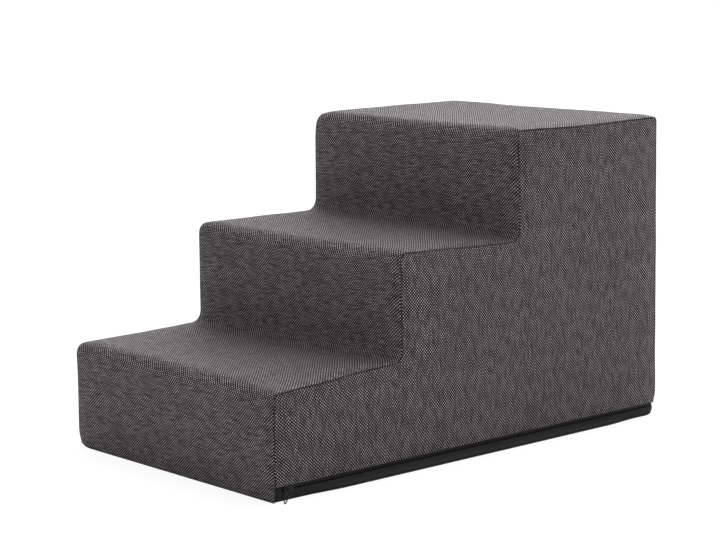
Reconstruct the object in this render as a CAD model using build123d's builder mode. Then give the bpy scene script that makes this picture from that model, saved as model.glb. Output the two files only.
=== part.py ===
"""Three-step pet stair: a glued foam core in a zipped two-tone woven cover.

Frame: +Z up, the climb runs along +Y, the zip's slider rides on the +X side.
The origin is the middle of the base, on the floor. All lengths are millimetres.
"""

import os

from build123d import *

# Overall size, outside the cover
STAIR_LENGTH = 600.0
STAIR_WIDTH = 356.0
STEP_RISE = 121.0
STEP_TREAD = 182.0
STEP_COUNT = 3

# Cover
FABRIC = 1.2
NOSE_RADIUS = 15.0
INNER_CORNER_RADIUS = 15.0
BACK_EDGE_RADIUS = 10.0
HEM_DEPTH = 10.0
COVER_EDGE_HEIGHT = 16.0

# Zip, a reversed coil zip that runs along the right side, the back and the left side
ZIP_CENTRE_HEIGHT = 11.5
ZIP_SLIT = 1.2
TAPE_THICKNESS = 0.6
TAPE_WIDTH = 13.0
COIL_WIDTH = 2.4
COIL_THICKNESS = 2.2
ZIP_CORNER_RADIUS = 12.0
END_TAB_LENGTH = 10.0

# Slider and pull
SLIDER_SETBACK = 21.0
SLIDER_LENGTH = 12.5
SLIDER_WIDTH = 8.5
SLIDER_TAIL_WIDTH = 6.4
PLATE_THICKNESS = 1.3
INNER_PLATE_THICKNESS = 1.2
SLIDER_CLEARANCE = 0.2
NECK_LENGTH = 5.0
NECK_THICKNESS = 0.8
FLANGE_HEIGHT = 1.2
FLANGE_THICKNESS = 0.9
LUG_HOLE_RADIUS = 1.35
LUG_WALL = 0.8
LUG_THICKNESS = 1.4
LUG_STANDOFF = 2.1
WIRE_RADIUS = 0.45
PULL_LENGTH = 21.0
PULL_EYE_HALF_WIDTH = 2.8
PULL_TIP_HALF_WIDTH = 3.8
PULL_EYE_RADIUS = 0.8
PULL_TIP_RADIUS = 3.5
PULL_DROOP = 24.0
PULL_FORWARD_TURN = 60.0

# Base
BASE_INSET = 1.8
BASE_RIM_HEIGHT = 5.8

# Distances in from the outer skin, through the zip
TAPE_OUTSIDE = 2 * FABRIC
TAPE_INSIDE = TAPE_OUTSIDE + TAPE_THICKNESS
COIL_INSIDE = TAPE_INSIDE + COIL_THICKNESS
FOAM_RELIEF_DEPTH = 7.4
FOAM_RELIEF_HEIGHT = COVER_EDGE_HEIGHT + HEM_DEPTH + 1.5

# Places
FRONT = -STAIR_LENGTH / 2
BACK = STAIR_LENGTH / 2
SIDE = STAIR_WIDTH / 2
SLIT_BOTTOM = ZIP_CENTRE_HEIGHT - ZIP_SLIT / 2
SLIT_TOP = ZIP_CENTRE_HEIGHT + ZIP_SLIT / 2
SLIDER_PLACE = FRONT + SLIDER_SETBACK
PLATE_INNER_X = SIDE - TAPE_OUTSIDE + SLIDER_CLEARANCE
PLATE_OUTER_X = PLATE_INNER_X + PLATE_THICKNESS
LUG_AXIS_X = PLATE_OUTER_X + LUG_STANDOFF


def riser_place(step):
    """Where a step's riser stands along Y, at the outer skin."""
    return FRONT + step * STEP_TREAD


def tread_height(step):
    """How high a step's tread lies, at the outer skin."""
    return (step + 1) * STEP_RISE


def stair_outline(inset, lowest):
    """The side view, Y across and Z up, a distance inside the outer skin and closed along its lowest line."""
    corners = [(FRONT + inset, lowest)]
    radii = []
    for step in range(STEP_COUNT):
        top = tread_height(step) - inset
        corners.append((riser_place(step) + inset, top))
        radii.append(NOSE_RADIUS - inset)
        if step < STEP_COUNT - 1:
            corners.append((riser_place(step + 1) + inset, top))
            radii.append(INNER_CORNER_RADIUS + inset)
    corners.append((BACK - inset, tread_height(STEP_COUNT - 1) - inset))
    radii.append(BACK_EDGE_RADIUS - inset)
    corners.append((BACK - inset, lowest))
    with BuildSketch() as outline:
        with BuildLine():
            FilletPolyline(*corners, radius=radii)
            Line(corners[-1], corners[0])
        make_face()
    return outline.sketch


def plan_outline(inset, front):
    """The stair's plan with rounded back corners, a distance inside the outer skin."""
    half_width = SIDE - inset
    depth = BACK - inset - front
    with BuildSketch() as plan:
        with Locations((0, front + depth / 2)):
            Rectangle(2 * half_width, depth)
        fillet(plan.vertices().sort_by(Axis.Y)[-2:], ZIP_CORNER_RADIUS - inset)
    return plan.sketch


def band(outside, inside, bottom, top):
    """A band that follows the zip along the right side, the back and the left side."""
    front = FRONT + FABRIC
    with BuildPart() as strip:
        with BuildSketch(Plane.XY.offset(bottom)):
            add(plan_outline(outside, front))
            add(plan_outline(inside, front - FABRIC), mode=Mode.SUBTRACT)
        extrude(amount=top - bottom)
    return strip.part


def cover_stair_panel():
    """One strip of cloth over the risers, the treads, the top and down the back."""
    with BuildPart() as panel:
        with BuildSketch(Plane.YZ.offset(-SIDE + FABRIC)):
            add(stair_outline(0, 0))
            add(stair_outline(FABRIC, -FABRIC), mode=Mode.SUBTRACT)
        extrude(amount=STAIR_WIDTH - 2 * FABRIC)
        with Locations((0, BACK, COVER_EDGE_HEIGHT)):
            Box(STAIR_WIDTH, 4 * FABRIC, 4 * COVER_EDGE_HEIGHT, mode=Mode.SUBTRACT,
                align=(Align.CENTER, Align.CENTER, Align.MAX))
        with Locations((0, BACK - FABRIC, COVER_EDGE_HEIGHT)):
            Box(STAIR_WIDTH - 2 * FABRIC, FABRIC, HEM_DEPTH,
                align=(Align.CENTER, Align.MAX, Align.MIN))
    return panel.part


def cover_side_panel(side):
    """A stair-shaped side of the cover, its lower edge hemmed above the zip; side is 1 or -1."""
    hem_length = STAIR_LENGTH - FABRIC - TAPE_OUTSIDE
    with BuildPart() as panel:
        with BuildSketch(Plane.YZ.offset(side * SIDE)):
            add(stair_outline(0, COVER_EDGE_HEIGHT))
        extrude(amount=-side * FABRIC)
        hem_middle = FRONT + FABRIC + hem_length / 2
        with Locations((side * (SIDE - 1.5 * FABRIC), hem_middle, COVER_EDGE_HEIGHT)):
            Box(FABRIC, hem_length, HEM_DEPTH, align=(Align.CENTER, Align.CENTER, Align.MIN))
    return panel.part


def foam_slab(step):
    """One of the glued slabs, its nose rounded as the cover's, the lowest relieved behind the zip."""
    bottom = FABRIC if step == 0 else tread_height(step - 1) - FABRIC
    top = tread_height(step) - FABRIC
    front = riser_place(step) + FABRIC
    back = BACK - FABRIC
    with BuildPart() as slab:
        with Locations((0, (front + back) / 2, bottom)):
            Box(STAIR_WIDTH - 2 * FABRIC, back - front, top - bottom,
                align=(Align.CENTER, Align.CENTER, Align.MIN))
        top_edges = slab.edges().group_by(Axis.Z)[-1].filter_by(Axis.X).sort_by(Axis.Y)
        fillet(top_edges[0], NOSE_RADIUS - FABRIC)
        if step == STEP_COUNT - 1:
            back_edge = slab.edges().group_by(Axis.Z)[-1].filter_by(Axis.X).sort_by(Axis.Y)[-1]
            fillet(back_edge, BACK_EDGE_RADIUS - FABRIC)
        if step == 0:
            with BuildSketch():
                Rectangle(STAIR_WIDTH, STAIR_LENGTH)
                add(plan_outline(FOAM_RELIEF_DEPTH, FRONT), mode=Mode.SUBTRACT)
            extrude(amount=FOAM_RELIEF_HEIGHT, mode=Mode.SUBTRACT)
    return slab.part


def base_panel():
    """The black non-slip cloth under the foam, its edge turned up behind the lower tape."""
    with BuildPart() as base:
        with BuildSketch():
            add(plan_outline(BASE_INSET, FRONT + FABRIC))
        extrude(amount=FABRIC)
        add(band(TAPE_INSIDE, TAPE_INSIDE + FABRIC, FABRIC, FABRIC + BASE_RIM_HEIGHT))
    return base.part


def zip_end_tab(side):
    """The folded cloth tab that covers an end of the zip at the front seam."""
    height = COVER_EDGE_HEIGHT - FABRIC - SLIDER_CLEARANCE
    with BuildPart() as tab:
        with Locations((side * (SIDE - TAPE_OUTSIDE), FRONT + FABRIC, FABRIC)):
            Box(FABRIC, END_TAB_LENGTH, height,
                align=(Align.MIN if side > 0 else Align.MAX, Align.MIN, Align.MIN))
        fillet(tab.edges().filter_by(Axis.X).sort_by(Axis.Y)[-2:], FABRIC)
    return tab.part


def slider_plate(inner_face, thickness):
    """A shield-shaped slider plate, wide at the mouth, which faces the front."""
    mouth = SLIDER_PLACE - SLIDER_LENGTH / 2
    tail = SLIDER_PLACE + SLIDER_LENGTH / 2
    with BuildPart() as plate:
        with BuildSketch(Plane.YZ.offset(inner_face)) as outline:
            with BuildLine():
                Polyline(
                    (mouth, ZIP_CENTRE_HEIGHT - SLIDER_WIDTH / 2),
                    (SLIDER_PLACE, ZIP_CENTRE_HEIGHT - SLIDER_WIDTH / 2),
                    (tail, ZIP_CENTRE_HEIGHT - SLIDER_TAIL_WIDTH / 2),
                    (tail, ZIP_CENTRE_HEIGHT + SLIDER_TAIL_WIDTH / 2),
                    (SLIDER_PLACE, ZIP_CENTRE_HEIGHT + SLIDER_WIDTH / 2),
                    (mouth, ZIP_CENTRE_HEIGHT + SLIDER_WIDTH / 2),
                    close=True,
                )
            make_face()
            fillet(outline.vertices(), 1.5)
        extrude(amount=thickness)
    return plate.part


def slider_lug():
    """The hooped lug on the outer plate, which holds the pull's wire."""
    hoop_radius = LUG_HOLE_RADIUS + LUG_WALL
    with BuildPart() as lug:
        with BuildSketch(Plane.XY.offset(ZIP_CENTRE_HEIGHT - LUG_THICKNESS / 2)):
            with Locations((LUG_AXIS_X, SLIDER_PLACE)):
                Circle(hoop_radius)
            with Locations((PLATE_OUTER_X, SLIDER_PLACE)):
                Rectangle(LUG_STANDOFF, 2 * hoop_radius, align=(Align.MIN, Align.CENTER))
            with Locations((LUG_AXIS_X, SLIDER_PLACE)):
                Circle(LUG_HOLE_RADIUS, mode=Mode.SUBTRACT)
            with Locations((PLATE_OUTER_X, SLIDER_PLACE)):
                Rectangle(LUG_STANDOFF, 2 * LUG_HOLE_RADIUS, mode=Mode.SUBTRACT,
                          align=(Align.MIN, Align.CENTER))
        extrude(amount=LUG_THICKNESS)
    return lug.part


def slider_body():
    """Two plates joined by a neck through the zip's slit, flanges round the coils and the pull's lug."""
    inner_plate_face = SIDE - COIL_INSIDE - SLIDER_CLEARANCE - INNER_PLATE_THICKNESS
    inner_plate_outside = inner_plate_face + INNER_PLATE_THICKNESS
    flange_middle = SLIDER_WIDTH / 2 - FLANGE_THICKNESS / 2
    with BuildPart() as slider:
        add(slider_plate(PLATE_INNER_X, PLATE_THICKNESS))
        outer_rim = slider.faces().sort_by(Axis.X)[-1].edges()
        fillet(outer_rim, 0.5)
        add(slider_plate(inner_plate_face, INNER_PLATE_THICKNESS))
        with Locations((inner_plate_outside, SLIDER_PLACE - 2, ZIP_CENTRE_HEIGHT)):
            Box(PLATE_INNER_X - inner_plate_outside, NECK_LENGTH, NECK_THICKNESS,
                align=(Align.MIN, Align.CENTER, Align.CENTER))
        for edge in (-1, 1):
            flange_place = (inner_plate_outside, SLIDER_PLACE - SLIDER_LENGTH / 4,
                            ZIP_CENTRE_HEIGHT + edge * flange_middle)
            with Locations(flange_place):
                Box(FLANGE_HEIGHT, SLIDER_LENGTH / 2 - 1.5, FLANGE_THICKNESS,
                    align=(Align.MIN, Align.CENTER, Align.CENTER))
        add(slider_lug())
    return slider.part


def pull_plane():
    """The plane of the wire pull: x runs down the pull from the lug's axis, y across it."""
    droop = Vector(1, 0, 0).rotate(Axis.Y, PULL_DROOP)
    across = Vector(0, 0, 1).rotate(Axis.Y, PULL_DROOP)
    along = droop.rotate(Axis.Z, -PULL_FORWARD_TURN)
    across = across.rotate(Axis.Z, -PULL_FORWARD_TURN)
    middle = (LUG_AXIS_X, SLIDER_PLACE, ZIP_CENTRE_HEIGHT)
    return Plane(origin=middle, x_dir=along, z_dir=along.cross(across))


def pull_loop():
    """The wire pull: a long loop through the lug, which droops forward and outward to the floor."""
    with BuildPart() as pull:
        with BuildLine(pull_plane()) as path:
            FilletPolyline(
                (0, PULL_EYE_HALF_WIDTH),
                (0, -PULL_EYE_HALF_WIDTH),
                (PULL_LENGTH, -PULL_TIP_HALF_WIDTH),
                (PULL_LENGTH, PULL_TIP_HALF_WIDTH),
                radius=[PULL_EYE_RADIUS, PULL_EYE_RADIUS, PULL_TIP_RADIUS, PULL_TIP_RADIUS],
                close=True,
            )
        wire = path.wires()[0]
        with BuildSketch(Plane(origin=wire @ 0, z_dir=wire % 0)):
            Circle(WIRE_RADIUS)
        sweep(path=wire)
    return pull.part


def write(piece, name):
    """Labels a finished piece and writes it as its own node."""
    piece.label = name
    export_step(piece, f"parts/{name}.step")


def coil_band(bottom):
    """A coil's envelope on the inner face of its tape."""
    return band(TAPE_INSIDE, COIL_INSIDE, bottom, bottom + COIL_WIDTH)


os.makedirs("parts", exist_ok=True)

for step, level in enumerate(("lower", "middle", "upper")):
    write(foam_slab(step), f"foam_slab_{level}")

write(cover_stair_panel(), "cover_stair_panel")
for side, hand in ((1, "right"), (-1, "left")):
    write(cover_side_panel(side), f"cover_side_panel_{hand}")
    write(zip_end_tab(side), f"zip_end_tab_{hand}")

write(base_panel(), "base_panel")
write(band(TAPE_OUTSIDE, TAPE_INSIDE, SLIT_TOP, SLIT_TOP + TAPE_WIDTH), "zip_tape_upper")
write(band(TAPE_OUTSIDE, TAPE_INSIDE, FABRIC, SLIT_BOTTOM), "zip_tape_lower")
write(coil_band(SLIT_TOP), "zip_coil_upper")
write(coil_band(SLIT_BOTTOM - COIL_WIDTH), "zip_coil_lower")
write(slider_body(), "slider_body")
write(pull_loop(), "pull_loop")
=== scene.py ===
"""Looks of a three-step pet stair in a zipped woven cover.

Everything is in metres in the part's own frame: +Z up, the climb along +Y, the slider on the +X side.
"""

import math

import bmesh
import bpy
import numpy as np
from mathutils import Matrix, Vector, noise


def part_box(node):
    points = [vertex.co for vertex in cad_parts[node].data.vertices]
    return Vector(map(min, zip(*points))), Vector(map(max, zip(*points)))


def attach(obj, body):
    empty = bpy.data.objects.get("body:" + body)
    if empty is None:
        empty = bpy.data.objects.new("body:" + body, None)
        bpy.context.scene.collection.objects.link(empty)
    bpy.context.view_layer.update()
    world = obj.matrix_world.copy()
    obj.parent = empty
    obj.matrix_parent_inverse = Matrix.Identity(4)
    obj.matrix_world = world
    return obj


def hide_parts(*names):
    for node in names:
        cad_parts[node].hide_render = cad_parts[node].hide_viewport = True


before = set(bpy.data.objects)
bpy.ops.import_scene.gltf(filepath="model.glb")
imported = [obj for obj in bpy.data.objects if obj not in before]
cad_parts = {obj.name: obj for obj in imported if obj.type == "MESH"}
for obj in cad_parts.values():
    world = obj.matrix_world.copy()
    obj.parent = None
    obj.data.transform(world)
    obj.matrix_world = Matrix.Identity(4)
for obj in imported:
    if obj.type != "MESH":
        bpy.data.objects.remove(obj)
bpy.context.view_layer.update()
scene = bpy.context.scene

MM = 0.001

# Cloth and seams
CLOTH = 1.2 * MM
# Radii of the step noses, the inner corners and the back's top corner: at each side's seam, and between them
SEAM_RADII = {1: (8 * MM, 10 * MM, 5.6 * MM), -1: (12 * MM, 13 * MM, 8 * MM)}
MIDDLE_RADII = (15 * MM, 17 * MM, 8 * MM)
SEAM_RESERVE = 5.2 * MM
STRIP_RESERVE = 3 * MM
CELL = 6 * MM
NOSE_CELLS = 2
BACK_NOSE_CELLS = 2
INNER_CORNER_CELLS = 4

# The cover's box and steps, from the frame
side_low, side_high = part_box("cover_side_panel_right")
SIDE = side_high.x
FRONT = side_low.y
BACK = side_high.y
HEM = side_low.z
slab_boxes = [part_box(f"foam_slab_{level}") for level in ("lower", "middle", "upper")]
RISERS = [low.y - CLOTH for low, high in slab_boxes]
TREADS = [high.z + CLOTH for low, high in slab_boxes]
STEPS = range(len(RISERS))


# ---------------------------------------------------------------- helpers

def new_piece(name, points, faces, smooth=True):
    """A mesh object in place, linked to the scene."""
    mesh = bpy.data.meshes.new(name)
    mesh.from_pydata([tuple(p) for p in points], [], faces)
    mesh.validate()
    if smooth:
        mesh.shade_smooth()
    piece = bpy.data.objects.new(name, mesh)
    scene.collection.objects.link(piece)
    return piece


def make_active(piece):
    """Selects one piece only, for the operators."""
    bpy.ops.object.select_all(action="DESELECT")
    piece.select_set(True)
    bpy.context.view_layer.objects.active = piece


def apply_modifier(piece, kind, **settings):
    """Adds a modifier, sets it and applies it."""
    modifier = piece.modifiers.new(kind.title(), kind)
    for key, value in settings.items():
        setattr(modifier, key, value)
    make_active(piece)
    bpy.ops.object.modifier_apply(modifier=modifier.name)


def dress(piece, body, material, slot, *nodes):
    """Gives a piece its material and its body, and hides the CAD nodes that it stands for."""
    piece.data.materials.clear()
    piece.data.materials.append(material)
    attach(piece, body)
    if nodes:
        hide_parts(*nodes)


# ---------------------------------------------------------------- the stair's side as a lattice

class SideLattice:
    """The side panel's flat shape as a lattice of points, with its corners rounded.

    The outline lies SEAM_RESERVE inside the cover's skin, which leaves room for the seam's rolled edge.
    """

    def __init__(self, bottom, radii):
        self.nose, self.inner_corner, self.back_nose = radii
        self.columns, self.riser_column = self.column_lines()
        self.rows, self.tread_row = self.row_lines(bottom)
        self.places = {}
        for i, y in enumerate(self.columns):
            for j in range(self.top_row(i) + 1):
                self.places[i, j] = np.array((y, self.rows[j]))
        self.border = self.border_walk()
        self.round_corners()
        self.relax(30)

    def column_lines(self):
        lines, riser_column = [], []
        for step in STEPS:
            riser = RISERS[step]
            if step > 0:
                lines += list(np.linspace(riser - self.inner_corner, riser + SEAM_RESERVE, INNER_CORNER_CELLS + 1))[:-1]
            riser_column.append(len(lines))
            lines += list(np.linspace(riser + SEAM_RESERVE, riser + self.nose, NOSE_CELLS + 1))[:-1]
            last = step == len(RISERS) - 1
            end = BACK - self.back_nose if last else RISERS[step + 1] - self.inner_corner
            cells = round((end - riser - self.nose) / CELL)
            lines += list(np.linspace(riser + self.nose, end, cells + 1))[:-1]
        lines += list(np.linspace(BACK - self.back_nose, BACK - SEAM_RESERVE, BACK_NOSE_CELLS + 1))
        return np.array(lines), riser_column

    def row_lines(self, bottom):
        lines, tread_row = [], []
        start = bottom
        for step in STEPS:
            tread = TREADS[step]
            cells = round((tread - self.nose - start) / CELL)
            lines += list(np.linspace(start, tread - self.nose, cells + 1))[:-1]
            lines += list(np.linspace(tread - self.nose, tread - SEAM_RESERVE, NOSE_CELLS + 1))[:-1]
            tread_row.append(len(lines))
            if step < len(TREADS) - 1:
                lines += list(np.linspace(tread - SEAM_RESERVE, tread + self.inner_corner, INNER_CORNER_CELLS + 1))[:-1]
                start = tread + self.inner_corner
        lines.append(TREADS[-1] - SEAM_RESERVE)
        return np.array(lines), tread_row

    def step_of(self, column):
        return max(step for step in STEPS if column >= self.riser_column[step])

    def top_row(self, column):
        return self.tread_row[self.step_of(column)]

    def border_walk(self):
        """The outline's lattice points, from the front's bottom over the steps to the back's bottom."""
        walk = []
        height = 0
        for step in STEPS:
            column = self.riser_column[step]
            walk += [(column, j) for j in range(height, self.tread_row[step] + 1)]
            height = self.tread_row[step]
            last = step == len(RISERS) - 1
            end = len(self.columns) if last else self.riser_column[step + 1]
            walk += [(i, height) for i in range(column + 1, end)]
        walk += [(len(self.columns) - 1, j) for j in range(height - 1, -1, -1)]
        return walk

    def round_corners(self):
        for step in STEPS:
            column, row = self.riser_column[step], self.tread_row[step]
            self.round_nose(column, row, NOSE_CELLS, 1)
            if step > 0:
                self.round_inner_corner(self.riser_column[step], self.tread_row[step - 1])
        self.round_nose(len(self.columns) - 1, self.tread_row[-1], BACK_NOSE_CELLS, -1)

    def round_nose(self, column, row, cells, way):
        """Bends the square of cells at an outer corner into a quarter disc."""
        centre = np.array((self.columns[column + way * cells], self.rows[row - cells]))
        reach = np.abs(np.array((self.columns[column], self.rows[row])) - centre)
        for i in range(cells + 1):
            for j in range(cells + 1):
                spot = column + way * i, row - j
                share = np.abs(self.places[spot] - centre) / reach
                if share.max() > 0:
                    round_share = share * share.max() / math.hypot(*share)
                    self.places[spot] = centre + round_share * reach * (-way, 1)

    def round_inner_corner(self, column, row):
        """Moves the outline's points at an inner corner on to their arc."""
        cells = INNER_CORNER_CELLS
        walk = [(column - cells + k, row) for k in range(cells)] + [(column, row + k) for k in range(cells + 1)]
        centre = np.array((self.columns[column - cells], self.rows[row + cells]))
        radius = self.columns[column] - centre[0]
        for k, spot in enumerate(walk):
            angle = math.radians(-90 + 90 * k / (len(walk) - 1))
            self.places[spot] = centre + radius * np.array((math.cos(angle), math.sin(angle)))

    def relax(self, rounds):
        """Evens out the points inside the outline."""
        fixed = set(self.border) | {(i, 0) for i in range(len(self.columns))}
        inside = [spot for spot in self.places if spot not in fixed]
        for _ in range(rounds):
            moved = {}
            for i, j in inside:
                around = [self.places[n] for n in ((i - 1, j), (i + 1, j), (i, j - 1), (i, j + 1))]
                moved[i, j] = sum(around) / 4
            self.places.update(moved)

    def faces(self, index):
        """The lattice's cells as faces, given each point's index."""
        made = []
        for i in range(len(self.columns) - 1):
            for j in range(self.top_row(i)):
                made.append((index[i, j], index[i + 1, j], index[i + 1, j + 1], index[i, j + 1]))
        return made


def outline_normals(points):
    """Outward normals of an outline walked from the front, over the top, to the back."""
    ahead = np.roll(points, -1, axis=0)
    behind = np.roll(points, 1, axis=0)
    ahead[-1] = points[-1]
    behind[0] = points[0]
    along = ahead - behind
    normals = np.column_stack((-along[:, 1], along[:, 0]))
    return normals / np.linalg.norm(normals, axis=1)[:, None]


# ---------------------------------------------------------------- how the cloth has settled

def nose(step, side):
    return Vector((side * SIDE, RISERS[step], TREADS[step]))


def inner_corner(step, side):
    return Vector((side * SIDE, RISERS[step + 1], TREADS[step]))


# Each spot of the cover, how far it has moved, and how wide the move spreads
SETTLED = [
    (nose(0, 1), Vector((0, 0, -3.4)) * MM, 60 * MM),
    (inner_corner(0, 1), Vector((0, 0, 4.4)) * MM, 60 * MM),
    (nose(1, 1), Vector((-0.5, -0.5, 2.2)) * MM, 50 * MM),
    (inner_corner(1, 1), Vector((0, 0, -2.0)) * MM, 60 * MM),
    (nose(2, 1), Vector((-1.2, -2.0, 2.0)) * MM, 45 * MM),
    (Vector((SIDE, BACK, TREADS[-1])), Vector((-0.2, -0.4, 1.0)) * MM, 60 * MM),
    (Vector((SIDE, BACK, 0)), Vector((1.2, 1.2, 0)) * MM, 120 * MM),
    (nose(1, -1), Vector((-1.0, -0.6, 0)) * MM, 60 * MM),
    (inner_corner(0, -1), Vector((-0.6, -1.5, 2.8)) * MM, 55 * MM),
    (nose(2, -1), Vector((1.4, 0, 0)) * MM, 70 * MM),
    (Vector((-SIDE, FRONT, 0)), Vector((2.4, 1.6, 3.4)) * MM, 7 * MM),
    (nose(2, -1), Vector((2, 1.5, -2)) * MM, 12 * MM),
    (Vector((SIDE, BACK, 0)), Vector((-2.5, -2.5, 6)) * MM, 6 * MM),
    (Vector((SIDE, BACK, HEM)), Vector((-2, -2, 2)) * MM, 2.5 * MM),
]
WAVES = [(120 * MM, 0.8 * MM), (38 * MM, 0.45 * MM)]


def smooth_step(value):
    value = min(1.0, max(0.0, value))
    return value * value * (3 - 2 * value)


def slider_share(point):
    """How far a point of the zip band lies on the slider's run, where the band has to stay straight."""
    return smooth_step(point.x / SIDE) * (1 - smooth_step((point.y - BACK + 13 * MM) / (9 * MM)))


def band_slack(point):
    """How the zip band on the slider's side bulges out below the slit, and sags at the back corner."""
    on_side = smooth_step(point.x / SIDE)
    at_corner = smooth_step((point.y - BACK + 13 * MM) / (9 * MM))
    below_slit = 1 - smooth_step((point.z - 3 * MM) / (4 * MM))
    below_cover = 1 - smooth_step((point.z - HEM + 3 * MM) / (6 * MM))
    along = smooth_step((point.y - FRONT - 40 * MM) / (60 * MM)) * (1 - smooth_step((point.y - BACK + 85 * MM) / (50 * MM)))
    low_bulge = 4.0 * MM * along * below_slit
    corner = Vector((2.6, 3.6, 0)) * MM * below_cover * at_corner
    return (Vector((low_bulge, 0, 0)) + corner) * on_side


def settle(point, band=False):
    """Moves a point of the cover, or of the zip band, to where the cloth has settled."""
    point = Vector(point)
    moved = Vector((0, 0, 0))
    for spot, move, reach in SETTLED:
        moved += move * math.exp(-(point - spot).length_squared / (2 * reach * reach))
    hold = min(1.0, point.z / (60 * MM))
    for length, height in WAVES:
        moved += noise.noise_vector(point / length) * height * hold
    if band:
        moved *= 1 - slider_share(point)
    moved += point + band_slack(point)
    moved.z = max(moved.z, 0.0)
    return moved


# ---------------------------------------------------------------- the woven cover

# The cloth's rolled edges at a seam: distance in from the neighbour's skin, depth below its own skin.
# The strip curls over the corner, and the side panel meets it just below.
STRIP_EDGE = [(d * MM, h * MM) for d, h in
              [(3.0, 0.0), (1.8, 0.06), (0.9, 0.35), (0.5, 0.85), (0.7, 1.35), (1.8, 1.6)]]
SIDE_EDGE = [(d * MM, h * MM) for d, h in
             [(5.2, 0.0), (3.7, 0.05), (2.8, 0.3), (2.3, 0.8), (2.1, 1.4), (1.9, 2.2)]]
# The black threads that paint the shadow in the long seams: inset, depth below the skin, and radius
SEAM_SHADOW_THREAD = (1.5 * MM, 2.3 * MM, 0.6 * MM)
TILE_ACROSS = 152 * MM
TILE_ALONG = 150 * MM
TILE_SIDE_ACROSS = 144.8 * MM
CROWN = 2.0 * MM


def edge_runs(edge):
    """How far each point of a rolled edge lies from its first one, along the cloth."""
    run = [0.0]
    for (d0, h0), (d1, h1) in zip(edge, edge[1:]):
        run.append(run[-1] + math.hypot(d1 - d0, h1 - h0))
    return run


def crown_share(distance, reach=26 * MM):
    """How far the cloth stands out at a distance from its seam, from 0 at the seam to 1."""
    share = min(1.0, max(0.0, distance / reach))
    return 1 - (1 - share) ** 3


def set_uv(piece, places):
    """Gives a piece its cloth coordinates, one place per vertex. The yarns run a little unevenly."""
    layer = piece.data.uv_layers.new(name="OFBake")
    drift = [noise.noise_vector(vertex.co / (32 * MM)) * 0.9 + noise.noise_vector(vertex.co / (150 * MM)) * 3.0
             for vertex in piece.data.vertices]
    places = [(u + move.x * MM / TILE_ALONG, v + move.y * MM / TILE_ALONG)
              for (u, v), move in zip(places, drift)]
    for loop in piece.data.loops:
        layer.data[loop.index].uv = places[loop.vertex_index]


def finish_cloth(piece):
    """Smooths a cloth panel and gives it its thickness, inwards."""
    apply_modifier(piece, "SUBSURF", levels=1, render_levels=1, uv_smooth="PRESERVE_BOUNDARIES")
    apply_modifier(piece, "SOLIDIFY", thickness=1.1 * MM, offset=-1, use_even_offset=False)
    piece.data.shade_smooth()


def side_panel(side):
    """One side of the cover: a flat panel with rolled edges and a folded hem along the zip."""
    lattice = SideLattice(HEM + 2 * MM, SEAM_RADII[side])
    points, flat, index = [], [], {}

    def place(y, z, depth):
        points.append(settle((side * (SIDE - depth), y, z)))
        return len(points) - 1

    border = np.array([lattice.places[spot] for spot in lattice.border])
    for spot, (y, z) in lattice.places.items():
        distance = np.min(np.hypot(border[:, 0] - y, border[:, 1] - z))
        crown = CROWN * crown_share(distance) * crown_share(z - HEM)
        index[spot] = place(y, z, -crown)
        flat.append((y, z))
    faces = lattice.faces(index)

    rings = [[index[spot] for spot in lattice.border]]
    normals = outline_normals(border)
    for (inset, depth), run in zip(SIDE_EDGE[1:], edge_runs(SIDE_EDGE)[1:]):
        ring = []
        for (y, z), normal in zip(border, normals):
            across = SEAM_RESERVE - inset
            ring.append(place(y + across * normal[0], z + across * normal[1], depth))
            flat.append((y + run * normal[0], z + run * normal[1]))
        rings.append(ring)
    for inner, outer in zip(rings, rings[1:]):
        for k in range(len(inner) - 1):
            faces.append((inner[k], inner[k + 1], outer[k + 1], outer[k]))

    # The hem: the bottom row turned under, then up inside
    row = [ring[0] for ring in reversed(rings[1:])]
    row += [index[i, 0] for i in range(len(lattice.columns))]
    row += [ring[-1] for ring in rings[1:]]
    hem_rows = [row]
    for drop, depth, run in HEM_FOLD:
        hem = []
        for vertex in row:
            base = points[vertex]
            points.append(Vector((base.x - side * depth, base.y, HEM + drop)))
            y, z = flat[vertex]
            flat.append((y, z - run))
            hem.append(len(points) - 1)
        hem_rows.append(hem)
    for upper, lower in zip(hem_rows, hem_rows[1:]):
        for k in range(len(upper) - 1):
            faces.append((lower[k], lower[k + 1], upper[k + 1], upper[k]))
    if side < 0:
        faces = [face[::-1] for face in faces]
    name = "side_cloth_right" if side > 0 else "side_cloth_left"
    piece = new_piece(name, points, faces)
    set_uv(piece, [side_cloth_place(y, z) for y, z in flat])
    finish_cloth(piece)
    return piece


# The hem's fold, below the last row: height above the cloth's edge, depth, and how far along the cloth
HEM_FOLD = [(0.6 * MM, 0.15 * MM, 1.4 * MM), (0.0, 1.1 * MM, 2.6 * MM), (0.7 * MM, 2.1 * MM, 3.9 * MM),
            (4 * MM, 2.3 * MM, 7.2 * MM), (9.5 * MM, 2.3 * MM, 12.7 * MM)]


def side_cloth_place(y, z):
    """Cloth coordinates on a side, whose upright yarns lean a little towards the front."""
    lean = math.tan(math.radians(3)) * z * (1 - 0.5 * (y - FRONT) / (BACK - FRONT))
    return (y + lean) / TILE_SIDE_ACROSS, z / TILE_ALONG


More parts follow.
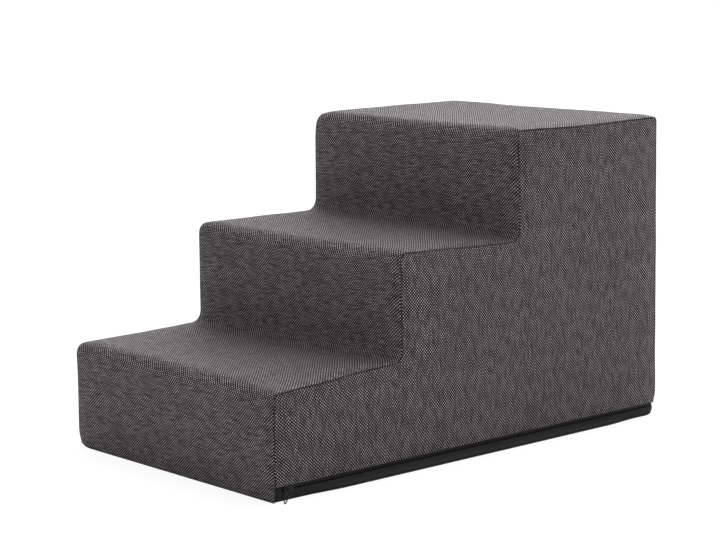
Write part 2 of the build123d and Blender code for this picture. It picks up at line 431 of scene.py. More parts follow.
def stair_path(nose_radius, inner_radius, back_radius):
    """The cover strip's line over the steps, as (y, z), outward normal and run along the cloth.

    The runs of two lines with other radii agree halfway along each tread and riser.
    """
    corners = [(FRONT, 0.0, 0.0)]
    for step in STEPS:
        last = step == len(RISERS) - 1
        corners.append((RISERS[step], TREADS[step], -nose_radius))
        corners.append((BACK if last else RISERS[step + 1], TREADS[step], -back_radius if last else inner_radius))
    corners.append((BACK, HEM + 2 * MM, 0.0))
    path, halfway = [], [0]
    here = np.array(corners[0][:2])
    for (y, z, radius), before, following in zip(corners[1:], corners, corners[2:] + [None]):
        corner = np.array((y, z))
        length = math.dist(corner, before[:2])
        into = (corner - before[:2]) / length
        end = corner - into * abs(radius)
        cells = round(length / STRIP_CELL)
        halfway.append(len(path) + cells // 2)
        for k in range(cells):
            path.append((here + (end - here) * k / cells, np.array((-into[1], into[0]))))
        here = end
        if following is None:
            break
        out = (np.array(following[:2]) - corner) / math.dist(following[:2], corner)
        centre = end + out * abs(radius)
        for k in range(ARC_CELLS):
            angle = math.pi / 2 * k / ARC_CELLS
            arm = into * math.sin(angle) - out * math.cos(angle)
            path.append((centre + arm * abs(radius), arm if radius < 0 else -arm))
        here = corner + out * abs(radius)
    path.append((here, np.array((1.0, 0.0))))
    lengths = np.cumsum([0.0] + [math.dist(a[0], b[0]) for a, b in zip(path, path[1:])])
    halfway = sorted(set(halfway)) + [len(path) - 1]
    marks = np.cumsum([0.0] + [math.dist(a[:2], b[:2]) for a, b in zip(corners, corners[1:])])
    marks = [0.0] + [(a + b) / 2 for a, b in zip(marks, marks[1:])] + [marks[-1]]
    runs = np.interp(lengths, lengths[halfway], marks)
    return [(spot, normal, run) for (spot, normal), run in zip(path, runs)]


STRIP_CELL = 7.6 * MM
ARC_CELLS = 5


def strip_panel():
    """The cover's strip, which climbs over the steps and down the back."""
    seam_paths = {side: stair_path(*SEAM_RADII[side]) for side in (1, -1)}
    middle_path = stair_path(*MIDDLE_RADII)
    half = SIDE - STRIP_RESERVE
    cells = round(2 * half / STRIP_CELL)
    columns = [(x, 0.0, x) for x in np.linspace(-half, half, cells + 1)]
    right = [(SIDE - inset, depth, half + run) for (inset, depth), run in
             zip(STRIP_EDGE[1:], edge_runs(STRIP_EDGE)[1:])]
    left = [(-x, depth, -u) for x, depth, u in reversed(right)]
    columns = left + columns + right
    points, flat, faces = [], [], []
    for row, (middle, normal, middle_run) in enumerate(middle_path):
        fade = crown_share(middle[1] - HEM, 12 * MM) if middle[0] > RISERS[-1] else crown_share(middle[1], 60 * MM)
        for x, depth, u in columns:
            spot, normal, run = seam_paths[1 if x > 0 else -1][row]
            lift = CROWN * crown_share(half - abs(x)) * fade - depth
            inside = smooth_step((SIDE - abs(x) - STRIP_RESERVE) / (40 * MM))
            place = spot + normal * lift + inside * (middle - spot)
            points.append(settle((x, place[0], place[1])))
            pull = 3 * MM * math.exp(-(SIDE - abs(x)) / (12 * MM)) * abs(normal[0])
            flat.append((u, run + inside * (middle_run - run) + pull))
    rows = len(middle_path)
    # The hem at the back, turned under and up inside
    last_row = range((rows - 1) * len(columns), rows * len(columns))
    for drop, depth, length in HEM_FOLD:
        for vertex in list(last_row):
            base = points[vertex]
            points.append(Vector((base.x, base.y - depth, HEM + drop)))
            flat.append((flat[vertex][0], flat[vertex][1] + length))
        rows += 1
    width = len(columns)
    for j in range(rows - 1):
        for i in range(width - 1):
            a = j * width + i
            faces.append((a, a + 1, a + width + 1, a + width))
    piece = new_piece("stair_cloth", points, faces)
    set_uv(piece, [(u / TILE_ACROSS, v / TILE_ALONG) for u, v in flat])
    finish_cloth(piece)
    return piece


# ---------------------------------------------------------------- the zip band and the base

ZIP_CORNER = 12 * MM
TAPE_DEPTH = 2.4 * MM
BAND_CELL = 10 * MM


def band_path(start=FRONT + 1.2 * MM):
    """The zip's line round the base, from the right side's front to the left's: (x, y) and outward normal."""
    across, back = SIDE - TAPE_DEPTH, BACK - TAPE_DEPTH
    path = []
    cells = round((back - ZIP_CORNER - start) / BAND_CELL)
    for y in np.linspace(start, back - ZIP_CORNER, cells + 1)[:-1]:
        path.append(((across, y), (1.0, 0.0)))
    arc_cells = 8
    for k in range(arc_cells + 1):
        angle = math.pi / 2 * k / arc_cells
        normal = (math.cos(angle), math.sin(angle))
        path.append(((across - ZIP_CORNER + ZIP_CORNER * normal[0],
                      back - ZIP_CORNER + ZIP_CORNER * normal[1]), normal))
    cells = round((across - ZIP_CORNER) / BAND_CELL)
    for x in np.linspace(across - ZIP_CORNER, 0, cells + 1)[1:]:
        path.append(((x, back), (0.0, 1.0)))
    mirrored = [((-x, y), (-nx, ny)) for (x, y), (nx, ny) in reversed(path[:-1])]
    return path + mirrored


def swept_band(name, profile, start=FRONT + 1.2 * MM, closed=True):
    """A band along the zip's line. The profile's points are (depth below the skin, height)."""
    path = band_path(start)
    points, faces = [], []
    for (x, y), (nx, ny) in path:
        for depth, height in profile:
            inward = depth - TAPE_DEPTH
            points.append(settle((x - nx * inward, y - ny * inward, height), band=True))
    count = len(profile)
    sides = count if closed else count - 1
    for k in range(len(path) - 1):
        for i in range(sides):
            a, b = k * count + i, k * count + (i + 1) % count
            faces.append((a, a + count, b + count, b))
    if closed:
        faces.append(tuple(range(count)))
        faces.append(tuple(reversed(range((len(path) - 1) * count, len(path) * count))))
    piece = new_piece(name, points, faces)
    recalculate(piece)
    return piece


def recalculate(piece):
    """Turns a closed mesh's faces outwards."""
    mesh = bmesh.new()
    mesh.from_mesh(piece.data)
    bmesh.ops.recalc_face_normals(mesh, faces=mesh.faces)
    mesh.to_mesh(piece.data)
    mesh.free()


def tape_profile(low, high, bulge):
    """A tape's section: a thin strip that swells a little outwards between its edges."""
    rows = 5
    heights = [low + (high - low) * k / (rows - 1) for k in range(rows)]
    outer = [(TAPE_DEPTH - bulge * math.sin(math.pi * k / (rows - 1)), z) for k, z in enumerate(heights)]
    inner = [(depth + 0.6 * MM, z) for depth, z in reversed(outer)]
    return outer + inner


def zip_band():
    """Both tapes of the zip, as they have settled."""
    for level, bulge, finish in (("lower", 0.9 * MM, LOWER_TAPE), ("upper", 0.2 * MM, UPPER_TAPE)):
        low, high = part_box(f"zip_tape_{level}")
        tape = swept_band(f"tape_{level}", tape_profile(low.z, high.z, bulge))
        apply_modifier(tape, "BEVEL", width=0.15 * MM, segments=2, limit_method="ANGLE")
        tape.data.shade_smooth()
        dress(tape, "stair", finish, "zip_tape", f"zip_tape_{level}")


BASE_EDGE = [(depth * MM, height * MM) for depth, height in
             [(4.0, 6.8), (4.0, 3.0), (3.5, 1.9), (2.5, 1.75), (1.9, 1.2), (2.1, 0.4), (4.5, 0.1), (12.0, 0.1)]]


def end_tab(side):
    """The folded cloth tab that closes the zip's end at a front corner, a little crumpled."""
    node = "zip_end_tab_" + ("right" if side > 0 else "left")
    low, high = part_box(node)
    skin = high.x if side > 0 else -low.x
    points, faces = [], []
    for layer in (0.0, 1.0 * MM):
        for j in range(TAB_CELLS + 1):
            for i in range(TAB_CELLS + 1):
                y = low.y + (high.y - low.y) * i / TAB_CELLS
                z = low.z + (high.z - low.z) * j / TAB_CELLS
                swell = 0.8 * MM * math.sin(math.pi * i / TAB_CELLS) * math.sin(math.pi * j / TAB_CELLS)
                crumple = noise.noise(Vector((side, y, z)) / (3 * MM)) * 0.5 * MM
                points.append(settle((side * (skin + swell + crumple - layer), y, z)))
    width = TAB_CELLS + 1
    back = width * width
    for j in range(TAB_CELLS):
        for i in range(TAB_CELLS):
            a = j * width + i
            faces.append((a, a + 1, a + width + 1, a + width))
            faces.append((a + back, a + width + back, a + width + 1 + back, a + 1 + back))
    rim = ([i for i in range(width)] + [j * width + TAB_CELLS for j in range(1, width)]
           + [TAB_CELLS * width + i for i in reversed(range(TAB_CELLS))] + [j * width for j in reversed(range(1, TAB_CELLS))])
    for a, b in zip(rim, rim[1:] + rim[:1]):
        faces.append((a, a + back, b + back, b))
    tab = new_piece(node.replace("zip_", ""), points, faces)
    recalculate(tab)
    apply_modifier(tab, "SUBSURF", levels=1, render_levels=1)
    tab.data.shade_smooth()
    dress(tab, "stair", TAB_CLOTH, "base_cloth", node)


TAB_CELLS = 7


def base_sheet():
    """The base cloth: a flat sheet whose edge is turned up behind the lower tape."""
    path = band_path()
    count = len(BASE_EDGE)
    points = []
    for (x, y), (nx, ny) in path:
        for depth, height in BASE_EDGE:
            inward = depth - TAPE_DEPTH
            points.append(settle((x - nx * inward, y - ny * inward, height), band=True))
    faces = []
    for k in range(len(path) - 1):
        for i in range(count - 1):
            a = k * count + i
            faces.append((a, a + count, a + count + 1, a + 1))
    corner = next(k for k, (spot, normal) in enumerate(path) if normal[0] < 1e-6)
    across = len(path) - 1 - 2 * corner
    rows = []
    for k in range(corner):
        right, left = k * count + count - 1, (len(path) - 1 - k) * count + count - 1
        row = [right]
        for step in range(1, across):
            points.append(points[right].lerp(points[left], step / across))
            row.append(len(points) - 1)
        rows.append(row + [left])
    rows.append([(corner + k) * count + count - 1 for k in range(across + 1)])
    for front_row, back_row in zip(rows, rows[1:]):
        for i in range(across):
            faces.append((front_row[i], back_row[i], back_row[i + 1], front_row[i + 1]))
    piece = new_piece("base", points, faces)
    recalculate(piece)
    lowest = min(piece.data.polygons, key=lambda face: face.center.z - face.area)
    if lowest.normal.z > 0:
        piece.data.flip_normals()
    apply_modifier(piece, "SOLIDIFY", thickness=0.9 * MM, offset=-1)
    piece.data.shade_smooth()
    dress(piece, "stair", BASE_CLOTH, "base_cloth", "base_panel")


def seam_shadow_threads():
    """Painted shadow: a black sewing thread laid in each long seam's groove, which draws the seam's shadow as a dark
    line.
    """
    inward, depth, radius = SEAM_SHADOW_THREAD
    for side, label in ((1, "right"), (-1, "left")):
        curve = bpy.data.curves.new(f"seam_shadow_thread_{label}", "CURVE")
        curve.dimensions = "3D"
        curve.bevel_depth = radius
        curve.bevel_resolution = 1
        curve.use_fill_caps = True
        route = [settle((side * (SIDE - inward), spot[0] - normal[0] * depth, spot[1] - normal[1] * depth))
                 for spot, normal, run in stair_path(*SEAM_RADII[side])]
        route = [point for point in route if point.z > HEM + 1 * MM]
        spline = curve.splines.new("POLY")
        spline.points.add(len(route) - 1)
        for point, place in zip(spline.points, route):
            point.co = (*place, 1)
        thread = bpy.data.objects.new(f"seam_shadow_thread_{label}", curve)
        scene.collection.objects.link(thread)
        make_active(thread)
        bpy.ops.object.convert(target="MESH")
        thread = bpy.context.object
        thread.data.shade_smooth()
        dress(thread, "stair", SEAM_SHADOW_FINISH, "woven_cover")


# ---------------------------------------------------------------- shader helpers

class Shader:
    """A node tree under construction."""

    def __init__(self, tree):
        self.tree = tree

    def add(self, kind, inputs=None, **settings):
        node = self.tree.nodes.new(kind)
        for key, value in settings.items():
            setattr(node, key, value)
        for key, value in (inputs or {}).items():
            self.put(value, node.inputs[key])
        return node

    def put(self, value, socket):
        if isinstance(value, bpy.types.NodeSocket):
            self.tree.links.new(value, socket)
        elif value is not None:
            socket.default_value = value

    def math(self, operation, first, second=None, clamp=False):
        node = self.add("ShaderNodeMath", {0: first}, operation=operation, use_clamp=clamp)
        if second is not None:
            self.put(second, node.inputs[1])
        return node.outputs[0]

    def mix(self, share, first, second):
        """Mixes two colours."""
        node = self.add("ShaderNodeMix", data_type="RGBA")
        for key, value in ((0, share), (6, first), (7, second)):
            self.put(value, node.inputs[key])
        return node.outputs[2]

    def spread(self, value, low, high, out_low=0.0, out_high=1.0):
        """Maps a range of values to another."""
        node = self.add("ShaderNodeMapRange", {0: value, 1: low, 2: high, 3: out_low, 4: out_high})
        return node.outputs[0]

    def split(self, vector):
        return self.add("ShaderNodeSeparateXYZ", {0: vector}).outputs

    def join(self, x=0.0, y=0.0, z=0.0):
        return self.add("ShaderNodeCombineXYZ", {0: x, 1: y, 2: z}).outputs[0]


def new_group(name, inputs, outputs):
    """A shader node group: its tree, its inner inputs and its inner output node."""
    tree = bpy.data.node_groups.new(name, "ShaderNodeTree")
    for label, kind, value in inputs:
        socket = tree.interface.new_socket(label, in_out="INPUT", socket_type=kind)
        if value is not None:
            socket.default_value = value
    for label, kind in outputs:
        tree.interface.new_socket(label, in_out="OUTPUT", socket_type=kind)
    shader = Shader(tree)
    return shader, shader.add("NodeGroupInput").outputs, shader.add("NodeGroupOutput").inputs, tree


def new_material(name, **constants):
    """A material with its Principled shader, whose constants are set on its own sockets."""
    material = bpy.data.materials.new(name)
    material.use_nodes = True
    shader = Shader(material.node_tree)
    surface = material.node_tree.nodes["Principled BSDF"]
    for label, value in constants.items():
        surface.inputs[label.replace("_", " ").title().replace("Ior", "IOR")].default_value = value
    return material, shader, surface


def bump(shader, height, distance, strength=1.0, normal=None):
    node = shader.add("ShaderNodeBump", {"Height": height, "Distance": distance, "Strength": strength})
    if normal is not None:
        shader.put(normal, node.inputs["Normal"])
    return node.outputs[0]


# ---------------------------------------------------------------- shader groups

def ring_noise_group():
    """Noise that repeats with each tile of cloth, drawn out along either way."""
    shader, given, out, tree = new_group(
        "Repeating Noise",
        [("Cloth", "NodeSocketVector", None), ("Count Across", "NodeSocketFloat", 10.0),
         ("Count Along", "NodeSocketFloat", 10.0), ("Detail", "NodeSocketFloat", 1.0)],
        [("Value", "NodeSocketFloat")])
    u, v, _ = shader.split(given["Cloth"])
    waves = []
    for place, count in ((u, given["Count Across"]), (v, given["Count Along"])):
        turn = shader.math("MULTIPLY", place, math.tau)
        radius = shader.math("DIVIDE", count, math.tau)
        for wave in ("COSINE", "SINE"):
            waves.append(shader.math("MULTIPLY", shader.math(wave, turn), radius))
    texture = shader.add("ShaderNodeTexNoise",
                         {"Vector": shader.join(*waves[:3]), "W": waves[3], "Scale": 1.0,
                          "Detail": given["Detail"], "Roughness": 0.5},
                         noise_dimensions="4D")
    shader.put(texture.outputs[0], out["Value"])
    return tree


def plain_weave_group():
    """Two sets of yarns that cross over and under: which one shows, and how high it stands."""
    shader, given, out, tree = new_group(
        "Plain Weave",
        [("Yarns", "NodeSocketVector", None), ("Rise", "NodeSocketFloat", 0.5), ("Roundness", "NodeSocketFloat", 0.6)],
        [("Across Yarn", "NodeSocketFloat"), ("Height", "NodeSocketFloat")])
    x, y, _ = shader.split(given["Yarns"])
    heights = []
    for along, across, sign in ((x, y, 1.0), (y, x, -1.0)):
        yarn = shader.math("FLOOR", across)
        phase = shader.math("SUBTRACT", shader.math("SUBTRACT", along, 0.5), yarn)
        wave = shader.math("COSINE", shader.math("MULTIPLY", phase, math.pi))
        rise = shader.math("MULTIPLY", shader.math("MULTIPLY", wave, given["Rise"]), sign)
        off_centre = shader.math("SUBTRACT", shader.math("FRACT", across), 0.5)
        square = shader.math("MULTIPLY", shader.math("MULTIPLY", off_centre, off_centre), 4.0)
        section = shader.math("MULTIPLY", shader.math("SUBTRACT", 1.0, square), given["Roundness"])
        heights.append(shader.math("ADD", rise, section))
    difference = shader.math("SUBTRACT", heights[0], heights[1])
    shader.put(shader.spread(difference, -0.08, 0.08), out["Across Yarn"])
    shader.put(shader.math("MAXIMUM", heights[0], heights[1]), out["Height"])
    return tree


# ---------------------------------------------------------------- materials

YARNS_PER_TILE = 80


def woven_cloth(name, light_along_height):
    """Heather grey cloth of pale and near-black yarns, with painted shade in the low places between the yarns. The pale
    yarn runs across, or up the sides.
    """
    material, shader, surface = new_material(name, sheen_weight=0.13, sheen_roughness=0.35)
    surface.inputs["Specular IOR Level"].default_value = 0.08
    surface.inputs["Sheen Tint"].default_value = (0.93, 0.86, 0.96, 1)
    cloth = shader.add("ShaderNodeUVMap", uv_map="OFBake").outputs[0]
    if light_along_height:
        u, v, _ = shader.split(cloth)
        cloth = shader.join(v, u)
    yarns = shader.add("ShaderNodeVectorMath", {0: cloth, 1: (YARNS_PER_TILE,) * 3}, operation="MULTIPLY").outputs[0]

    def repeating(across, along, detail=1.0):
        node = shader.add("ShaderNodeGroup", node_tree=REPEATING_NOISE)
        for label, value in (("Cloth", cloth), ("Count Across", across), ("Count Along", along), ("Detail", detail)):
            shader.put(value, node.inputs[label])
        return node.outputs[0]

    weave = shader.add("ShaderNodeGroup", node_tree=PLAIN_WEAVE)
    shader.put(yarns, weave.inputs["Yarns"])
    slub = shader.spread(repeating(14.0, 80.0), 0.32, 0.68)
    fibre = shader.spread(repeating(160.0, 400.0, 2.0), 0.3, 0.7)
    dark_slub = shader.spread(repeating(80.0, 16.0), 0.35, 0.65)
    pale = shader.mix(slub, PALE_YARN_LOW, PALE_YARN_HIGH)
    dark = shader.mix(dark_slub, DARK_YARN_LOW, DARK_YARN_HIGH)
    colour = shader.mix(weave.outputs["Across Yarn"], dark, pale)
    # Painted shade: the colour darkens where the weave sits low between the yarns, standing in for the yarns' own
    # shadow
    painted_hollow_shade = shader.spread(weave.outputs["Height"], 0.62, 1.05, 0.02, 1.1)
    colour = shader.mix(shader.math("MULTIPLY", fibre, 0.35), colour, (0.02, 0.019, 0.02, 1))
    spot = shader.add("ShaderNodeTexCoord").outputs["Object"]
    dust = shader.add("ShaderNodeTexNoise", {"Vector": spot, "Scale": 9.0, "Detail": 3.0}).outputs[0]
    # The colour's multiplier: random dust mottling times the painted shade between the yarns
    shade = shader.math("MULTIPLY", shader.spread(dust, 0.3, 0.7, 0.93, 1.07), painted_hollow_shade)
    colour = shader.add("ShaderNodeVectorMath", {0: colour, "Scale": shade}, operation="SCALE").outputs[0]
    shader.put(colour, surface.inputs["Base Color"])
    shader.put(shader.spread(weave.outputs["Height"], 0.2, 1.0, 0.85, 0.6), surface.inputs["Roughness"])
    height = shader.math("ADD", weave.outputs["Height"], shader.math("MULTIPLY", fibre, 0.15))
    shader.put(bump(shader, height, 0.35 * MM, 0.8), surface.inputs["Normal"])
    return material


PALE_YARN_LOW = (0.32, 0.288, 0.306, 1)
PALE_YARN_HIGH = (0.92, 0.835, 0.885, 1)
DARK_YARN_LOW = (0.003, 0.0028, 0.003, 1)
DARK_YARN_HIGH = (0.012, 0.011, 0.0115, 1)


def nylon_tape(name):
    """Black nylon tape with fine lengthwise ribs."""
    material, shader, surface = new_material(name, roughness=0.62, sheen_weight=0.06, sheen_roughness=0.4)
    surface.inputs["Specular IOR Level"].default_value = 0.3
    spot = shader.add("ShaderNodeTexCoord").outputs["Object"]
    x, y, z = shader.split(spot)
    ribs = shader.math("SINE", shader.math("MULTIPLY", z, math.tau / (0.9 * MM)))
    run = shader.math("ADD", x, y)
    knots = shader.math("SINE", shader.math("MULTIPLY", run, math.tau / (1.1 * MM)))
    height = shader.math("ADD", ribs, shader.math("MULTIPLY", knots, 0.5))
    cloudy = shader.add("ShaderNodeTexNoise", {"Vector": spot, "Scale": 60.0, "Detail": 3.0}).outputs[0]
    shade = shader.mix(shader.spread(cloudy, 0.35, 0.65), (0.005, 0.005, 0.0052, 1), (0.012, 0.0117, 0.0121, 1))
    shader.put(shade, surface.inputs["Base Color"])
    shader.put(shader.spread(cloudy, 0.3, 0.7, 0.55, 0.72), surface.inputs["Roughness"])
    shader.put(bump(shader, height, 0.12 * MM, 0.7), surface.inputs["Normal"])
    return material


def coil_plastic():
    """Black plastic coil whose turns lie across the tape, painted darker between the turns as shade and lighter on
    their crests as highlight.
    """
    material, shader, surface = new_material("coil plastic", roughness=0.3)
    spot = shader.add("ShaderNodeTexCoord").outputs["Object"]
    x, y, z = shader.split(spot)
    turns = shader.math("SINE", shader.math("MULTIPLY", shader.math("ADD", x, y), math.tau / (1.6 * MM)))
    # Painted shade and highlight: the colour follows the turns' relief, darker between them and lighter on their crests
    shade = shader.mix(shader.spread(turns, -1.0, 1.0), (0.006, 0.006, 0.006, 1), (0.022, 0.022, 0.023, 1))
    shader.put(shade, surface.inputs["Base Color"])
    shader.put(shader.spread(turns, -1.0, 1.0, 0.42, 0.26), surface.inputs["Roughness"])
    shader.put(bump(shader, turns, 0.5 * MM, 0.8), surface.inputs["Normal"])
    return material


def black_metal(name, roughness, coat):
    """Black enamel on metal, rubbed a little brighter in patches."""
    material, shader, surface = new_material(name, metallic=0.0, coat_weight=coat, coat_roughness=0.2)
    surface.inputs["Specular IOR Level"].default_value = 0.35
    spot = shader.add("ShaderNodeTexCoord").outputs["Object"]
    grain = shader.add("ShaderNodeTexNoise", {"Vector": spot, "Scale": 900.0, "Detail": 4.0}).outputs[0]
    rub = shader.add("ShaderNodeTexNoise", {"Vector": spot, "Scale": 220.0, "Detail": 2.0}).outputs[0]
    shade = shader.mix(shader.spread(rub, 0.45, 0.7), (0.005, 0.005, 0.005, 1), (0.018, 0.018, 0.0185, 1))
    shader.put(shade, surface.inputs["Base Color"])
    shader.put(shader.spread(grain, 0.3, 0.7, roughness - 0.08, roughness + 0.1), surface.inputs["Roughness"])
    shader.put(bump(shader, grain, 0.05 * MM, 0.4), surface.inputs["Normal"])
    return material


def seam_shadow_material():
    """Black sewing thread, two plies twisted together, painted darker between the plies as shade and lighter on them.
    """
    material, shader, surface = new_material("seam shadow thread", roughness=0.7)
    spot = shader.add("ShaderNodeTexCoord").outputs["Object"]
    x, y, z = shader.split(spot)
    slope = shader.math("ADD", shader.math("ADD", y, z), x)
    twist = shader.math("SINE", shader.math("MULTIPLY", slope, math.tau / (0.7 * MM)))
    # Painted shade: darker between the plies, lighter on them
    shade = shader.mix(shader.spread(twist, -1.0, 1.0), (0.004, 0.004, 0.004, 1), (0.012, 0.011, 0.012, 1))
    shader.put(shade, surface.inputs["Base Color"])
    shader.put(shader.spread(twist, -1.0, 1.0, 0.8, 0.6), surface.inputs["Roughness"])
    shader.put(bump(shader, twist, 0.1 * MM, 0.6), surface.inputs["Normal"])
    return material


def foam_material():
    """Open-cell foam, pale and matt, with painted shade in its pores and painted shade near black along its bottom."""
    material, shader, surface = new_material("core foam", roughness=0.9)
    spot = shader.add("ShaderNodeTexCoord").outputs["Object"]
    cells = shader.add("ShaderNodeTexVoronoi", {"Vector": spot, "Scale": 900.0}).outputs["Distance"]
    tint = shader.add("ShaderNodeTexNoise", {"Vector": spot, "Scale": 14.0, "Detail": 4.0}).outputs[0]
    shade = shader.mix(shader.spread(tint, 0.35, 0.65), (0.62, 0.58, 0.47, 1), (0.72, 0.69, 0.58, 1))
    # Painted shade in the pores: darker towards each foam cell's centre
    colour_with_painted_pore_shade = shader.mix(shader.spread(cells, 0.0, 0.5, 0.4, 0.0), shade, (0.3, 0.27, 0.2, 1))
    # Painted shade: the foam is painted near black below 18 to 20 mm, standing in for the shadow behind the zip, so
    # that no pale foam shows through the slit
    height = shader.split(spot)[2]
    shader.put(shader.mix(shader.spread(height, 18 * MM, 20 * MM), (0.012, 0.012, 0.012, 1), colour_with_painted_pore_shade),
               surface.inputs["Base Color"])
    shader.put(shader.spread(tint, 0.3, 0.7, 0.85, 0.95), surface.inputs["Roughness"])
    shader.put(bump(shader, cells, 0.4 * MM, 0.8), surface.inputs["Normal"])
    return material


def base_cloth():
    """Plain black base cloth with rows of small grip dots."""
    material, shader, surface = new_material("base cloth", roughness=0.8, sheen_weight=0.1)
    spot = shader.add("ShaderNodeTexCoord").outputs["Object"]
    x, y, z = shader.split(spot)
    distances = []
    pitch = 7 * MM
    for place in (x, y):
        cell = shader.math("SUBTRACT", shader.math("FRACT", shader.math("DIVIDE", place, pitch)), 0.5)
        distances.append(shader.math("MULTIPLY", cell, cell))
    distance = shader.math("SQRT", shader.math("ADD", *distances))
    below = shader.math("LESS_THAN", z, 0.2 * MM)
    dots = shader.math("MULTIPLY", shader.spread(distance, 0.2, 0.14), below)
    threads = shader.math("MULTIPLY", shader.math("SINE", shader.math("MULTIPLY", x, math.tau / (0.8 * MM))),
                          shader.math("SINE", shader.math("MULTIPLY", y, math.tau / (0.8 * MM))))
    cloudy = shader.add("ShaderNodeTexNoise", {"Vector": spot, "Scale": 30.0, "Detail": 3.0}).outputs[0]
    cloth = shader.mix(shader.spread(cloudy, 0.35, 0.65), (0.01, 0.01, 0.0105, 1), (0.02, 0.02, 0.021, 1))
    shader.put(shader.mix(dots, cloth, (0.03, 0.03, 0.031, 1)), surface.inputs["Base Color"])
    shader.put(shader.spread(dots, 0.0, 1.0, 0.82, 0.42), surface.inputs["Roughness"])
    height = shader.math("ADD", shader.math("MULTIPLY", threads, 0.1), dots)
    shader.put(bump(shader, height, 0.5 * MM, 0.8), surface.inputs["Normal"])
    return material


REPEATING_NOISE = ring_noise_group()
PLAIN_WEAVE = plain_weave_group()


# ---------------------------------------------------------------- the pieces

def foam_core():
    """The three foam slabs under the cover, a little smaller than the space the cloth leaves."""
    for level, (low, high) in zip(("lower", "middle", "upper"), slab_boxes):
        low = Vector((low.x, low.y, low.z)) + Vector((FOAM_GAP, FOAM_GAP, 0.1 * MM))
        high = Vector((high.x, high.y, high.z)) - Vector((FOAM_GAP, FOAM_GAP, FOAM_GAP))
        bpy.ops.object.select_all(action="DESELECT")
        bpy.ops.mesh.primitive_cube_add(size=1, location=(low + high) / 2, scale=high - low)
        slab = bpy.context.object
        slab.name = f"foam_{level}"
        bpy.ops.object.transform_apply(location=True, rotation=False, scale=True)
        apply_modifier(slab, "BEVEL", width=5 * MM, segments=3)
        bpy.ops.object.mode_set(mode="EDIT")
        bpy.ops.mesh.select_all(action="SELECT")
        bpy.ops.mesh.subdivide(number_cuts=5)
        bpy.ops.object.mode_set(mode="OBJECT")
        for vertex in slab.data.vertices:
            vertex.co = settle(vertex.co)
        slab.data.shade_smooth()
        dress(slab, "stair", FOAM, "core_foam", f"foam_slab_{level}")


FOAM_GAP = 5 * MM
FOAM = foam_material()
UPPER_TAPE = nylon_tape("upper tape")
LOWER_TAPE = nylon_tape("lower tape")
TAB_CLOTH = nylon_tape("tab cloth")
BASE_CLOTH = base_cloth()
COIL = coil_plastic()
# The finish of the black threads that paint the shadow in the long seams
SEAM_SHADOW_FINISH = seam_shadow_material()
foam_core()

across_cloth = woven_cloth("woven cloth over the steps", False)
upright_cloth = woven_cloth("woven cloth on the sides", True)
strip = strip_panel()
dress(strip, "stair", across_cloth, "woven_cover", "cover_stair_panel")
for side, label in ((1, "right"), (-1, "left")):
    panel = side_panel(side)
    dress(panel, "stair", upright_cloth, "woven_cover", f"cover_side_panel_{label}")

zip_band()
base_sheet()
end_tab(1)
end_tab(-1)
# Black threads in the long seams, which paint the seams' shadow
seam_shadow_threads()

def pull_ring():
    """The slider's wire pull: a drop-shaped ring through the lug, drooping forward and outward."""
    node_low, node_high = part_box("pull_loop")
    slider_low, slider_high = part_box("slider_body")
    middle = Vector((slider_high.x - LUG_RADIUS, (slider_low.y + slider_high.y) / 2, (slider_low.z + slider_high.z) / 2))
    turn = Matrix.Rotation(-PULL_TURN, 3, "Z") @ Matrix.Rotation(PULL_DROOP, 3, "Y")
    along, across = turn @ Vector((1, 0, 0)), turn @ Vector((0, 0, 1))
    eye_centre, tip_centre = PULL_EYE, PULL_LENGTH - PULL_TIP
    lean = math.asin((PULL_TIP - PULL_EYE) / (tip_centre - eye_centre))
    route = []
    for centre, radius, start, end in ((tip_centre, PULL_TIP, -math.pi / 2 - lean, math.pi / 2 + lean),
                                       (eye_centre, PULL_EYE, math.pi / 2 + lean, 3 * math.pi / 2 - lean)):
        for k in range(13):
            angle = start + (end - start) * k / 12
            route.append(middle + along * (centre + radius * math.cos(angle)) + across * radius * math.sin(angle))
    curve = bpy.data.curves.new("pull_ring", "CURVE")
    curve.dimensions = "3D"
    curve.bevel_depth = PULL_WIRE
    curve.bevel_resolution = 3
    spline = curve.splines.new("POLY")
    spline.points.add(len(route) - 1)
    for point, place in zip(spline.points, route):
        point.co = (*place, 1)
    spline.use_cyclic_u = True
    ring = bpy.data.objects.new("pull_ring", curve)
    scene.collection.objects.link(ring)
    make_active(ring)
    bpy.ops.object.convert(target="MESH")
    ring = bpy.context.object
    ring.data.shade_smooth()
    dress(ring, "pull", black_metal("pull enamel", 0.6, 0.0), "pull_wire", "pull_loop")


LUG_RADIUS = 2.15 * MM
PULL_LENGTH = 20.6 * MM
PULL_EYE = 2.3 * MM
PULL_TIP = 3.9 * MM
PULL_WIRE = 0.7 * MM
PULL_DROOP = math.radians(24)
PULL_TURN = math.radians(60)
pull_ring()

CAD_FINISHES = {
    "zip_coil_upper": COIL,
    "zip_coil_lower": COIL,
    "slider_body": black_metal("slider enamel", 0.4, 0.15),
}
for name, finish in CAD_FINISHES.items():
    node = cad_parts[name]
    node.data.materials.clear()
    node.data.materials.append(finish)


# ---------------------------------------------------------------- studio

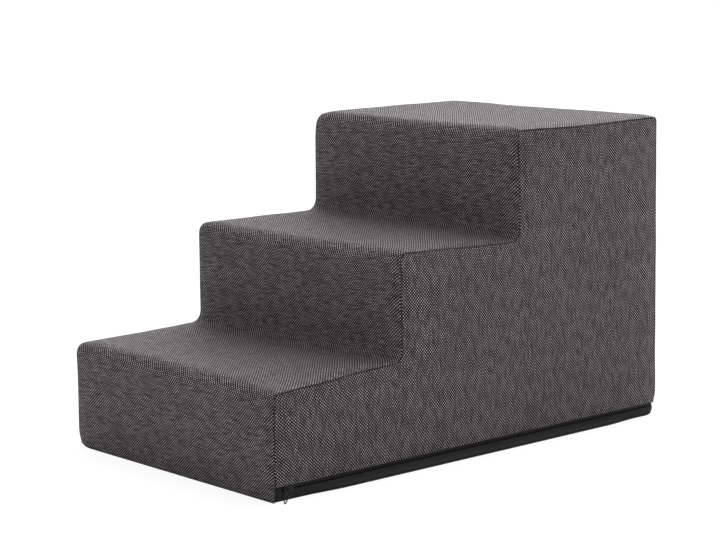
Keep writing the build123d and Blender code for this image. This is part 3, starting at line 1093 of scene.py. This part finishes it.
def studio():
    """A white sweep under one very broad light, a little behind the object."""
    bpy.ops.mesh.primitive_plane_add(size=80, location=(0, 0, 0))
    floor = bpy.context.object
    floor.name = "floor"
    material = bpy.data.materials.new("floor paint")
    material.use_nodes = True
    shader = Shader(material.node_tree)
    surface = material.node_tree.nodes["Principled BSDF"]
    surface.inputs["Base Color"].default_value = (0.83, 0.83, 0.83, 1)
    surface.inputs["Roughness"].default_value = 0.9
    surface.inputs["Specular IOR Level"].default_value = 0.0
    glow = shader.add("ShaderNodeEmission", {"Color": (1, 1, 1, 1), "Strength": 1.12})
    seen = shader.add("ShaderNodeLightPath").outputs["Is Camera Ray"]
    both = shader.add("ShaderNodeMixShader", {0: shader.math("MULTIPLY", seen, 0.8), 1: surface.outputs[0],
                                              2: glow.outputs[0]})
    shader.put(both.outputs[0], material.node_tree.nodes["Material Output"].inputs["Surface"])
    floor.data.materials.append(material)
    world = bpy.data.worlds.new("studio")
    world.use_nodes = True
    sky = Shader(world.node_tree)
    background = world.node_tree.nodes["Background"]
    background.inputs[0].default_value = (1, 1, 1, 1)
    seen = sky.add("ShaderNodeLightPath").outputs["Is Camera Ray"]
    direction = sky.add("ShaderNodeTexCoord").outputs["Generated"]
    across = sky.add("ShaderNodeSeparateXYZ", {0: direction}).outputs["X"]
    dimmer_side = sky.spread(across, -1.0, 1.0, WORLD_LIGHT * 1.14, WORLD_LIGHT * 0.86)
    unseen = sky.math("SUBTRACT", 1.0, seen)
    sky.put(sky.math("ADD", sky.math("MULTIPLY", dimmer_side, unseen), seen), background.inputs[1])
    scene.world = world
    lamp = bpy.data.lights.new("broad light", "SUN")
    lamp.energy = KEY_LIGHT
    lamp.angle = math.radians(80)
    holder = bpy.data.objects.new("broad light", lamp)
    holder.rotation_euler = KEY_TURN
    scene.collection.objects.link(holder)
    scene.view_settings.view_transform = "Standard"


WORLD_LIGHT = 0.515
KEY_LIGHT = 3.95
KEY_TURN = (math.radians(-42), math.radians(-22), 0)


CAMERA_PLACE = Vector((1.8956, -1.7069, 0.6023))
CAMERA_AZIMUTH = math.radians(48.325)
CAMERA_DIP = math.radians(9.133)
CAMERA_ROLL = math.radians(-0.50)


def camera():
    """A long lens from the front right, a little above the top step."""
    data = bpy.data.cameras.new("camera")
    data.lens = 109.9
    data.sensor_width = 36
    eye = bpy.data.objects.new("camera", data)
    look = Vector((-math.sin(CAMERA_AZIMUTH) * math.cos(CAMERA_DIP),
                   math.cos(CAMERA_AZIMUTH) * math.cos(CAMERA_DIP), -math.sin(CAMERA_DIP)))
    right = Vector((math.cos(CAMERA_AZIMUTH), math.sin(CAMERA_AZIMUTH), 0))
    up = right.cross(look)
    rolled_right = right * math.cos(CAMERA_ROLL) + up * math.sin(CAMERA_ROLL)
    rolled_up = up * math.cos(CAMERA_ROLL) - right * math.sin(CAMERA_ROLL)
    turn = Matrix((rolled_right, rolled_up, -look)).transposed()
    eye.matrix_world = Matrix.Translation(CAMERA_PLACE) @ turn.to_4x4()
    scene.collection.objects.link(eye)
    scene.camera = eye


studio()
camera()
